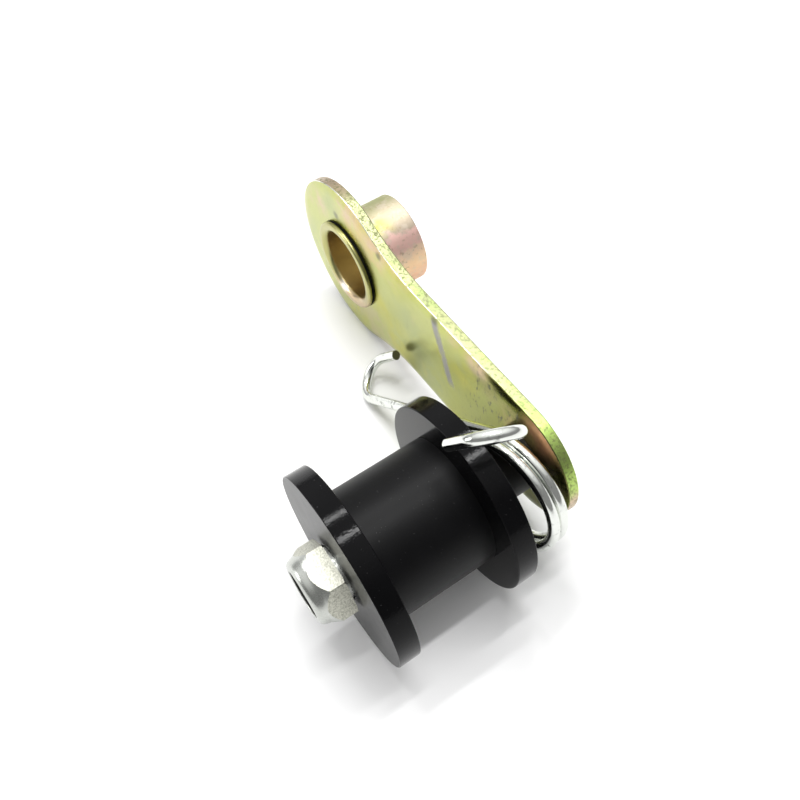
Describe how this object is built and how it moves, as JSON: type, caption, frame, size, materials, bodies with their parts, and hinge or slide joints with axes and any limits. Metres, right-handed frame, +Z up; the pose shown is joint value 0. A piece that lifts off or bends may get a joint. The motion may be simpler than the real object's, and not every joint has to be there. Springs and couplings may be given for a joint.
{
  "type": "chain tensioner",
  "caption": "Chain tensioner: plated steel arm with a pivot tube at one end, a black flanged roller on an axle at the other and a hooked torsion spring between them.",
  "frame": {"origin": "on the pivot bore's axis, at the arm's roller-side face", "axes": "+X along the arm to the roller's axle, +Y along the pivot bore away from the roller, +Z up as the part lies on a table"},
  "size_m": [0.0979, 0.0608, 0.0474],
  "materials": {
    "yellow_zinc": "shiny yellow-passivated zinc",
    "bright_zinc": "bright zinc",
    "spring_wire": "bright zinc over drawn wire",
    "black_nylon": "semi-gloss turned black nylon",
    "white_nylon": "natural nylon"
  },
  "bodies": {
    "arm": {"arm_plate": "yellow_zinc", "pivot_tube": "yellow_zinc", "tube_weld": "yellow_zinc", "axle_stud": "bright_zinc", "axle_sleeve": "bright_zinc", "spring_collar": "black_nylon", "lock_nut": "bright_zinc", "nut_insert": "white_nylon"},
    "roller": {"roller": "black_nylon"},
    "spring": {"torsion_spring": "spring_wire"}
  },
  "joints": [
    {"name": "roller_spin", "type": "hinge", "parent": "arm", "child": "roller", "pos_m": [0.06, 0, 0], "axis": [0, 1, 0], "continuous": true},
    {"name": "spring_swivel", "type": "hinge", "parent": "arm", "child": "spring", "pos_m": [0.06, 0, 0], "axis": [0, 1, 0], "continuous": true}
  ]
}
